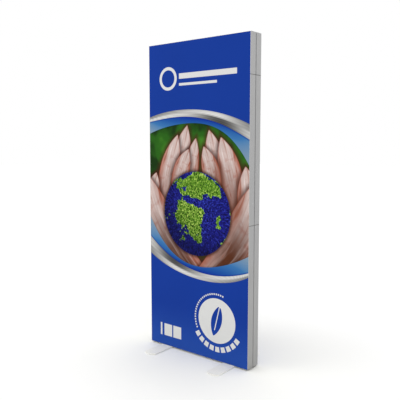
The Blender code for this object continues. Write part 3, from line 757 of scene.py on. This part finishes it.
def foot_material(name, colour):
    """Pale powder coat with a fine orange peel, rubbed through along its edges and dusty on top."""
    material, t = new_material(name)
    place = object_place(t)
    axes = t.split(place)
    grain = t.group(build_grain, Vector=place, Size=0.8 * MM)
    touched = t.group(build_handling, Vector=place)
    base = t.scaled(colour, t.ramp(grain["Tone"], 0.3, 0.7, 0.95, 1.04))
    base = t.mix(t.times(touched["Scuff"], 0.45), base, linear("8f8f8e"))
    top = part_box("foot_plate_right")[1].z
    rim = t.group(build_near_a_plane, Coordinate=axes["Z"], Place=top - 0.5 * MM, Reach=0.5 * MM)["Mask"]
    leaning = t.ramp(t.split(t.add("ShaderNodeNewGeometry").outputs["Normal"])["Z"], 0.9, 0.99, 1.0, 0.0)
    chips = t.ramp(t.noise(place, 60.0, 4.0, 0.7), 0.45, 0.6)
    worn = t.times(t.times(rim, leaning), chips)
    base = t.mix(worn, base, linear("a5a39e"))
    dust = t.group(build_dust, Vector=place, Amount=0.15)["Mask"]
    base = t.mix(dust, base, linear("d6d3cc"))
    rough = t.plus(t.plus(0.42, t.times(dust, 0.4)), t.times(touched["Smudge"], 0.1))
    surface(t, grain["Height"], 0.05 * MM, Base_Color=base, Roughness=rough, Metallic=t.times(worn, 0.8))
    return material


def grained_material(name, colour, rough, size, depth, dusty):
    """Rubber, nylon or silicone: one colour with a moulded grain, cloudy patches and some dust."""
    material, t = new_material(name)
    place = object_place(t)
    grain = t.group(build_grain, Vector=place, Size=size)
    base = t.scaled(colour, t.ramp(grain["Tone"], 0.3, 0.7, 0.85, 1.12))
    dust = t.group(build_dust, Vector=place, Amount=dusty)["Mask"]
    base = t.mix(dust, base, linear("8e8a82"))
    pebbled = t.ramp(grain["Height"], 0.2, 1.0, rough - 0.06, rough + 0.08)
    surface(t, grain["Height"], depth, Base_Color=base, Roughness=pebbled)
    return material


def cloth_place(t, size):
    """Place on the flat cloth in metres from its middle, from the cloth's own map."""
    flat = t.add("ShaderNodeUVMap", uv_map="cloth").outputs["UV"]
    return t.vector("SUBTRACT", flat, (size[0] / 2, size[1] / 2, 0.0))


def print_material(name, settings, size):
    """The printed side of the cloth: the artwork dyed into a fine knit."""
    material, t = new_material(name)
    place = cloth_place(t, size)
    inks = {"Ground": tuple(settings.ground), "White": tuple(settings.white)}
    art = t.group(build_artwork, Place=place, **inks)["Color"]
    knit = t.group(build_knit, Vector=place, Loop=settings.stitch)
    base = t.scaled(art, t.ramp(knit["Tone"], 0.2, 0.9, 0.94 * settings.dye, 1.05 * settings.dye))
    rough = t.ramp(knit["Tone"], 0.2, 0.9, 0.72, 0.86)
    surface(t, knit["Height"], 0.05 * MM, Base_Color=base, Roughness=rough)
    t.give("Principled BSDF", Specular_IOR_Level=0.06, Sheen_Weight=0.01, Sheen_Roughness=0.5)
    return material


def reverse_material(name, settings, size):
    """The unprinted side of the cloth: off-white knit with the dye showing through in places."""
    material, t = new_material(name)
    place = cloth_place(t, size)
    knit = t.group(build_knit, Vector=place, Loop=settings.stitch)
    patches = t.ramp(t.noise(place, 5.0, 3.0), 0.3, 0.7, 0.0, 0.25)
    base = t.mix(patches, linear("dfe0e2"), linear("b9c3da"))
    base = t.scaled(base, t.ramp(knit["Tone"], 0.2, 0.9, 0.9, 1.04))
    rough = t.ramp(knit["Tone"], 0.2, 0.9, 0.8, 0.92)
    surface(t, knit["Height"], 0.05 * MM, Base_Color=base, Roughness=rough)
    return material


# ---------------------------------------------------------------- cloth


# Cells round the roll and along the hem, room between the cloth and the frame's lips, and how near
# two places count as the same.
ROLL_CELLS = 4
HEM_CELLS = 3
LIP_CLEARANCE = 0.15 * MM
ROUNDING = 1e-7


def cloth_steps(flat, roll, tuck, cells):
    """Places across the cloth from its middle: even over the flat part, closer round the roll."""
    half = flat / 2 - roll
    arc = roll * math.pi / 2
    round_roll = half + arc * np.linspace(0, 1, ROLL_CELLS + 1)[1:]
    down_hem = half + arc + tuck * np.linspace(0, 1, HEM_CELLS + 1)[1:]
    outside = np.concatenate([round_roll, down_hem])
    return np.concatenate([-outside[::-1], np.linspace(-half, half, cells + 1), outside])


def rolled(place, flat, roll):
    """Where a place across the flat cloth comes to lie: its distance sideways, and its depth.

    Up to the roll it stays where it is. Round the roll it follows a quarter circle, and from
    there it runs straight in.
    """
    half = flat / 2 - roll
    past = np.abs(place) - half
    turn = np.clip(past / roll, 0, math.pi / 2)
    straight = np.clip(past - roll * math.pi / 2, 0, None)
    sideways = np.minimum(np.abs(place), half) + roll * np.sin(turn)
    return np.sign(place) * sideways, roll * (1 - np.cos(turn)) + straight


def cloth_sizes(face, settings):
    """Flat size of the visible cloth, its middle, and the plane of its printed side."""
    low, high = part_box(f"{face}_graphic")
    spare = 0.5 * settings.thickness + LIP_CLEARANCE
    width = high.x - low.x + 2 * spare
    height = high.z - low.z + 2 * spare
    plane = low.y if FACES[face] < 0 else high.y
    return width, height, (low + high) / 2, plane


def cloth_mesh(face, settings):
    """One graphic: a grid bent over at its four edges, with its corners cut out.

    The two grid directions p and q run across and up the flat cloth. Sideways and upwards each
    follows rolled(), and the depth behind the printed plane is the sum of both. The back's cloth is
    the front's turned half round, so its x changes sign with its depth.
    """
    width, height, middle, plane = cloth_sizes(face, settings)
    roll, tuck = settings.roll, settings.tuck
    p = cloth_steps(width, roll, tuck, settings.columns)
    q = cloth_steps(height, roll, tuck, settings.rows)
    flat_u, flat_w = np.meshgrid(p, q, indexing="xy")
    x, depth_x = rolled(flat_u, width, roll)
    z, depth_z = rolled(flat_w, height, roll)
    inwards = -FACES[face]
    points = np.stack([middle.x + inwards * x, plane + inwards * (depth_x + depth_z), middle.z + z], -1)
    columns, rows = len(p), len(q)
    index = np.arange(columns * rows).reshape(rows, columns)
    corners = np.stack([index[:-1, :-1], index[:-1, 1:], index[1:, 1:], index[1:, :-1]], -1)
    beyond_p = np.abs(p) > width / 2 - roll + ROUNDING
    beyond_q = np.abs(q) > height / 2 - roll + ROUNDING
    cut_p = beyond_p[:-1] | beyond_p[1:]
    cut_q = beyond_q[:-1] | beyond_q[1:]
    quads = corners[~(cut_q[:, None] & cut_p[None, :])]
    used, compact = np.unique(quads, return_inverse=True)
    quads = compact.reshape(-1, 4)
    mesh = bpy.data.meshes.new(f"{face}_cloth")
    mesh.from_pydata(points.reshape(-1, 3)[used].tolist(), [], quads.tolist())
    hem = roll * (math.pi / 2 - 1) + tuck
    cut_size = (width + 2 * hem, height + 2 * hem)
    u = flat_u.reshape(-1)[used]
    w = flat_w.reshape(-1)[used]
    layer = mesh.uv_layers.new(name="cloth")
    spots = np.stack([u + cut_size[0] / 2, w + cut_size[1] / 2], -1)[quads.reshape(-1)]
    layer.uv.foreach_set("vector", spots.astype(np.float32).reshape(-1))
    for name, values in artwork_fields(flat_u, flat_w).items():
        field = mesh.attributes.new(name, "FLOAT_VECTOR", "POINT")
        field.data.foreach_set("vector", values.reshape(-1, 3)[used].astype(np.float32).reshape(-1))
    mesh.shade_smooth()
    mesh.update()
    return mesh, cut_size


def add_cloth(face, settings):
    """The finished graphic of one face, in place of its CAD node."""
    mesh, cut_size = cloth_mesh(face, settings)
    piece = bpy.data.objects.new(f"{face}_cloth", mesh)
    bpy.context.scene.collection.objects.link(piece)
    mesh.materials.append(print_material(f"{face}_print", settings, cut_size))
    mesh.materials.append(reverse_material(f"{face}_cloth_reverse", settings, cut_size))
    wall = piece.modifiers.new("cloth thickness", "SOLIDIFY")
    wall.thickness = settings.thickness
    wall.offset = -1.0
    wall.use_even_offset = True
    wall.material_offset = 1
    wall.material_offset_rim = 1
    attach(piece, "frame")
    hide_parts(f"{face}_graphic")


# ---------------------------------------------------------------- studio


# Distances from the display between which the floor turns into a white backdrop.
FADE_START = 0.1
FADE_END = 1.3

# The main light's place, its side and where it aims, and the camera's sensor in millimetres.
KEY_PLACE = (-2.6, -3.4, 3.6)
KEY_SIZE = 2.4
DISPLAY_MIDDLE = (0.0, 0.0, 1.1)
SENSOR_WIDTH = 36.0


def add_floor(settings):
    """A large square floor that glows white away from the display like a lit backdrop.

    It can't be seen from below, so that the underside of the display can be looked at.
    """
    half = settings.floor_size / 2
    corners = [(-half, -half, 0), (half, -half, 0), (half, half, 0), (-half, half, 0)]
    mesh = bpy.data.meshes.new("floor")
    mesh.from_pydata(corners, [], [(0, 1, 2, 3)])
    floor = bpy.data.objects.new("floor", mesh)
    bpy.context.scene.collection.objects.link(floor)
    material, t = new_material("studio_floor")
    place = object_place(t)
    mottle = t.ramp(t.noise(place, 3.0, 3.0), 0.3, 0.7, 0.99, 1.0)
    inside = t.vector("MINIMUM", t.vector("MAXIMUM", place, cad_box[0]), cad_box[1])
    far = t.ramp(t.vector("DISTANCE", place, inside), FADE_START, FADE_END, smooth=True)
    black, white = linear("000000"), linear("ffffff")
    lit = t.mix(far, t.mix(mottle, black, tuple(settings.floor)), black)
    glow = t.mix(far, black, white)
    alpha = t.minus(1.0, t.add("ShaderNodeNewGeometry").outputs["Backfacing"])
    t.give("Principled BSDF", Base_Color=lit, Roughness=0.75, Specular_IOR_Level=0.2, Alpha=alpha)
    t.give("Principled BSDF", Emission_Color=glow, Emission_Strength=1.0)
    mesh.materials.append(material)


def add_area_light(name, place, aim, size, power):
    """A square soft light that faces a point."""
    light = bpy.data.lights.new(name, "AREA")
    light.shape = "SQUARE"
    light.size = size
    light.energy = power
    lamp = bpy.data.objects.new(name, light)
    lamp.location = place
    lamp.rotation_euler = (Vector(aim) - Vector(place)).to_track_quat("-Z", "Y").to_euler()
    bpy.context.scene.collection.objects.link(lamp)


def add_lights(settings):
    """A soft light from the upper left, and an even white sky that looks pure white itself."""
    add_area_light("key_light", KEY_PLACE, DISPLAY_MIDDLE, KEY_SIZE, settings.key)
    world = bpy.data.worlds.new("studio_sky")
    bpy.context.scene.world = world
    world.use_nodes = True
    t = Tree(world.node_tree)
    seen = t.add("ShaderNodeLightPath").outputs["Is Camera Ray"]
    t.give("Background", Color=(1.0, 1.0, 1.0), Strength=t.ramp(seen, 0.0, 1.0, settings.fill, 1.0))


def add_camera(settings):
    """The camera, to the right of the front and a little above the middle."""
    data = bpy.data.cameras.new("camera")
    data.lens = settings.lens
    data.sensor_width = SENSOR_WIDTH
    camera = bpy.data.objects.new("camera", data)
    camera.location = settings.place
    camera.rotation_euler = (math.pi / 2 - settings.tilt, 0.0, settings.azimuth)
    bpy.context.scene.collection.objects.link(camera)
    bpy.context.scene.camera = camera
    bpy.context.scene.view_settings.view_transform = "Standard"


# ---------------------------------------------------------------- operators


def finish_nodes(names, material):
    """Give CAD nodes a material."""
    for name in names:
        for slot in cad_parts[name].material_slots:
            slot.material = material


def nodes_named(start):
    """The CAD nodes whose names start so."""
    return sorted(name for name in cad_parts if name.startswith(start))


class DISPLAY_OT_cloth(bpy.types.Operator):
    """Make the front and back graphics as cloth"""

    bl_idname = "display.cloth"
    bl_label = "Graphics"

    def execute(self, context):
        for face in FACES:
            add_cloth(face, context.scene.display_cloth)
        return {"FINISHED"}


class DISPLAY_OT_frame_finish(bpy.types.Operator):
    """Finish the uprights, rails and cross brace as anodised aluminium"""

    bl_idname = "display.frame_finish"
    bl_label = "Frame"

    def execute(self, context):
        colour = tuple(context.scene.display_metal.aluminium)
        finish_nodes(UPRIGHTS, aluminium_material("anodised_upright", colour, "Z"))
        finish_nodes(RAILS + ["cross_brace"], aluminium_material("anodised_rail", colour, "X"))
        return {"FINISHED"}


class DISPLAY_OT_hardware_finish(bpy.types.Operator):
    """Finish the brackets, joiners, screws, bolts, nuts, latches, saddles and strips"""

    bl_idname = "display.hardware_finish"
    bl_label = "Hardware"

    def execute(self, context):
        settings = context.scene.display_metal
        bare = bare_metal("bare_aluminium", tuple(settings.bracket), 0.34)
        finish_nodes(nodes_named("corner_bracket_"), bare)
        finish_nodes([f"joiner_{side}_{seam}" for side in SIDES for seam in ("lower", "upper")], bare)
        zinc = zinc_material("zinc_plate", tuple(settings.zinc))
        for start in ("corner_screw_", "joiner_screw_", "foot_bolt_", "foot_nut_", "brace_latch_"):
            finish_nodes(nodes_named(start), zinc)
        nylon = grained_material("moulded_nylon", tuple(settings.nylon), 0.5, 0.5 * MM, 0.04 * MM, 0.35)
        finish_nodes(nodes_named("brace_saddle_"), nylon)
        milky = tuple(settings.silicone)
        silicone = grained_material("milky_silicone", milky, 0.45, 1.5 * MM, 0.02 * MM, 0.1)
        for face in FACES:
            finish_nodes(nodes_named(f"{face}_strip_"), silicone)
        return {"FINISHED"}


class DISPLAY_OT_feet_finish(bpy.types.Operator):
    """Finish the foot plates and their pads"""

    bl_idname = "display.feet_finish"
    bl_label = "Feet"

    def execute(self, context):
        settings = context.scene.display_metal
        finish_nodes(nodes_named("foot_plate_"), foot_material("powder_coat", tuple(settings.foot)))
        rubber = grained_material("black_rubber", tuple(settings.rubber), 0.78, 0.9 * MM, 0.1 * MM, 0.0)
        finish_nodes(nodes_named("foot_pad_"), rubber)
        return {"FINISHED"}


class DISPLAY_OT_stage(bpy.types.Operator):
    """Make the floor, the soft lights and the camera"""

    bl_idname = "display.stage"
    bl_label = "Studio"

    def execute(self, context):
        settings = context.scene.display_stage
        add_floor(settings)
        add_lights(settings)
        add_camera(settings)
        return {"FINISHED"}


class DISPLAY_PT_panel(bpy.types.Panel):
    """The display's settings and the buttons that make its pieces"""

    bl_idname = "DISPLAY_PT_panel"
    bl_label = "Fabric frame display"
    bl_space_type = "VIEW_3D"
    bl_region_type = "UI"
    bl_category = "Display"

    def draw(self, context):
        scene = context.scene
        for group, kinds in (
            (scene.display_cloth, ("cloth",)),
            (scene.display_metal, ("frame_finish", "hardware_finish", "feet_finish")),
            (scene.display_stage, ("stage",)),
        ):
            box = self.layout.box()
            for name in group.__annotations__:
                box.prop(group, name)
            for kind in kinds:
                box.operator(f"display.{kind}")


SETTINGS = {
    "display_cloth": DisplayClothSettings,
    "display_metal": DisplayMetalSettings,
    "display_stage": DisplayStageSettings,
}
OPERATORS = (
    DISPLAY_OT_cloth,
    DISPLAY_OT_frame_finish,
    DISPLAY_OT_hardware_finish,
    DISPLAY_OT_feet_finish,
    DISPLAY_OT_stage,
)


def register():
    for kind in (*SETTINGS.values(), *OPERATORS, DISPLAY_PT_panel):
        bpy.utils.register_class(kind)
    for name, kind in SETTINGS.items():
        setattr(bpy.types.Scene, name, PointerProperty(type=kind))


def unregister():
    for name in SETTINGS:
        delattr(bpy.types.Scene, name)
    for kind in (DISPLAY_PT_panel, *reversed(OPERATORS), *reversed(SETTINGS.values())):
        bpy.utils.unregister_class(kind)


def main():
    register()
    bpy.ops.display.stage()
    bpy.ops.display.cloth()
    bpy.ops.display.frame_finish()
    bpy.ops.display.hardware_finish()
    bpy.ops.display.feet_finish()


if __name__ == "__main__":
    main()
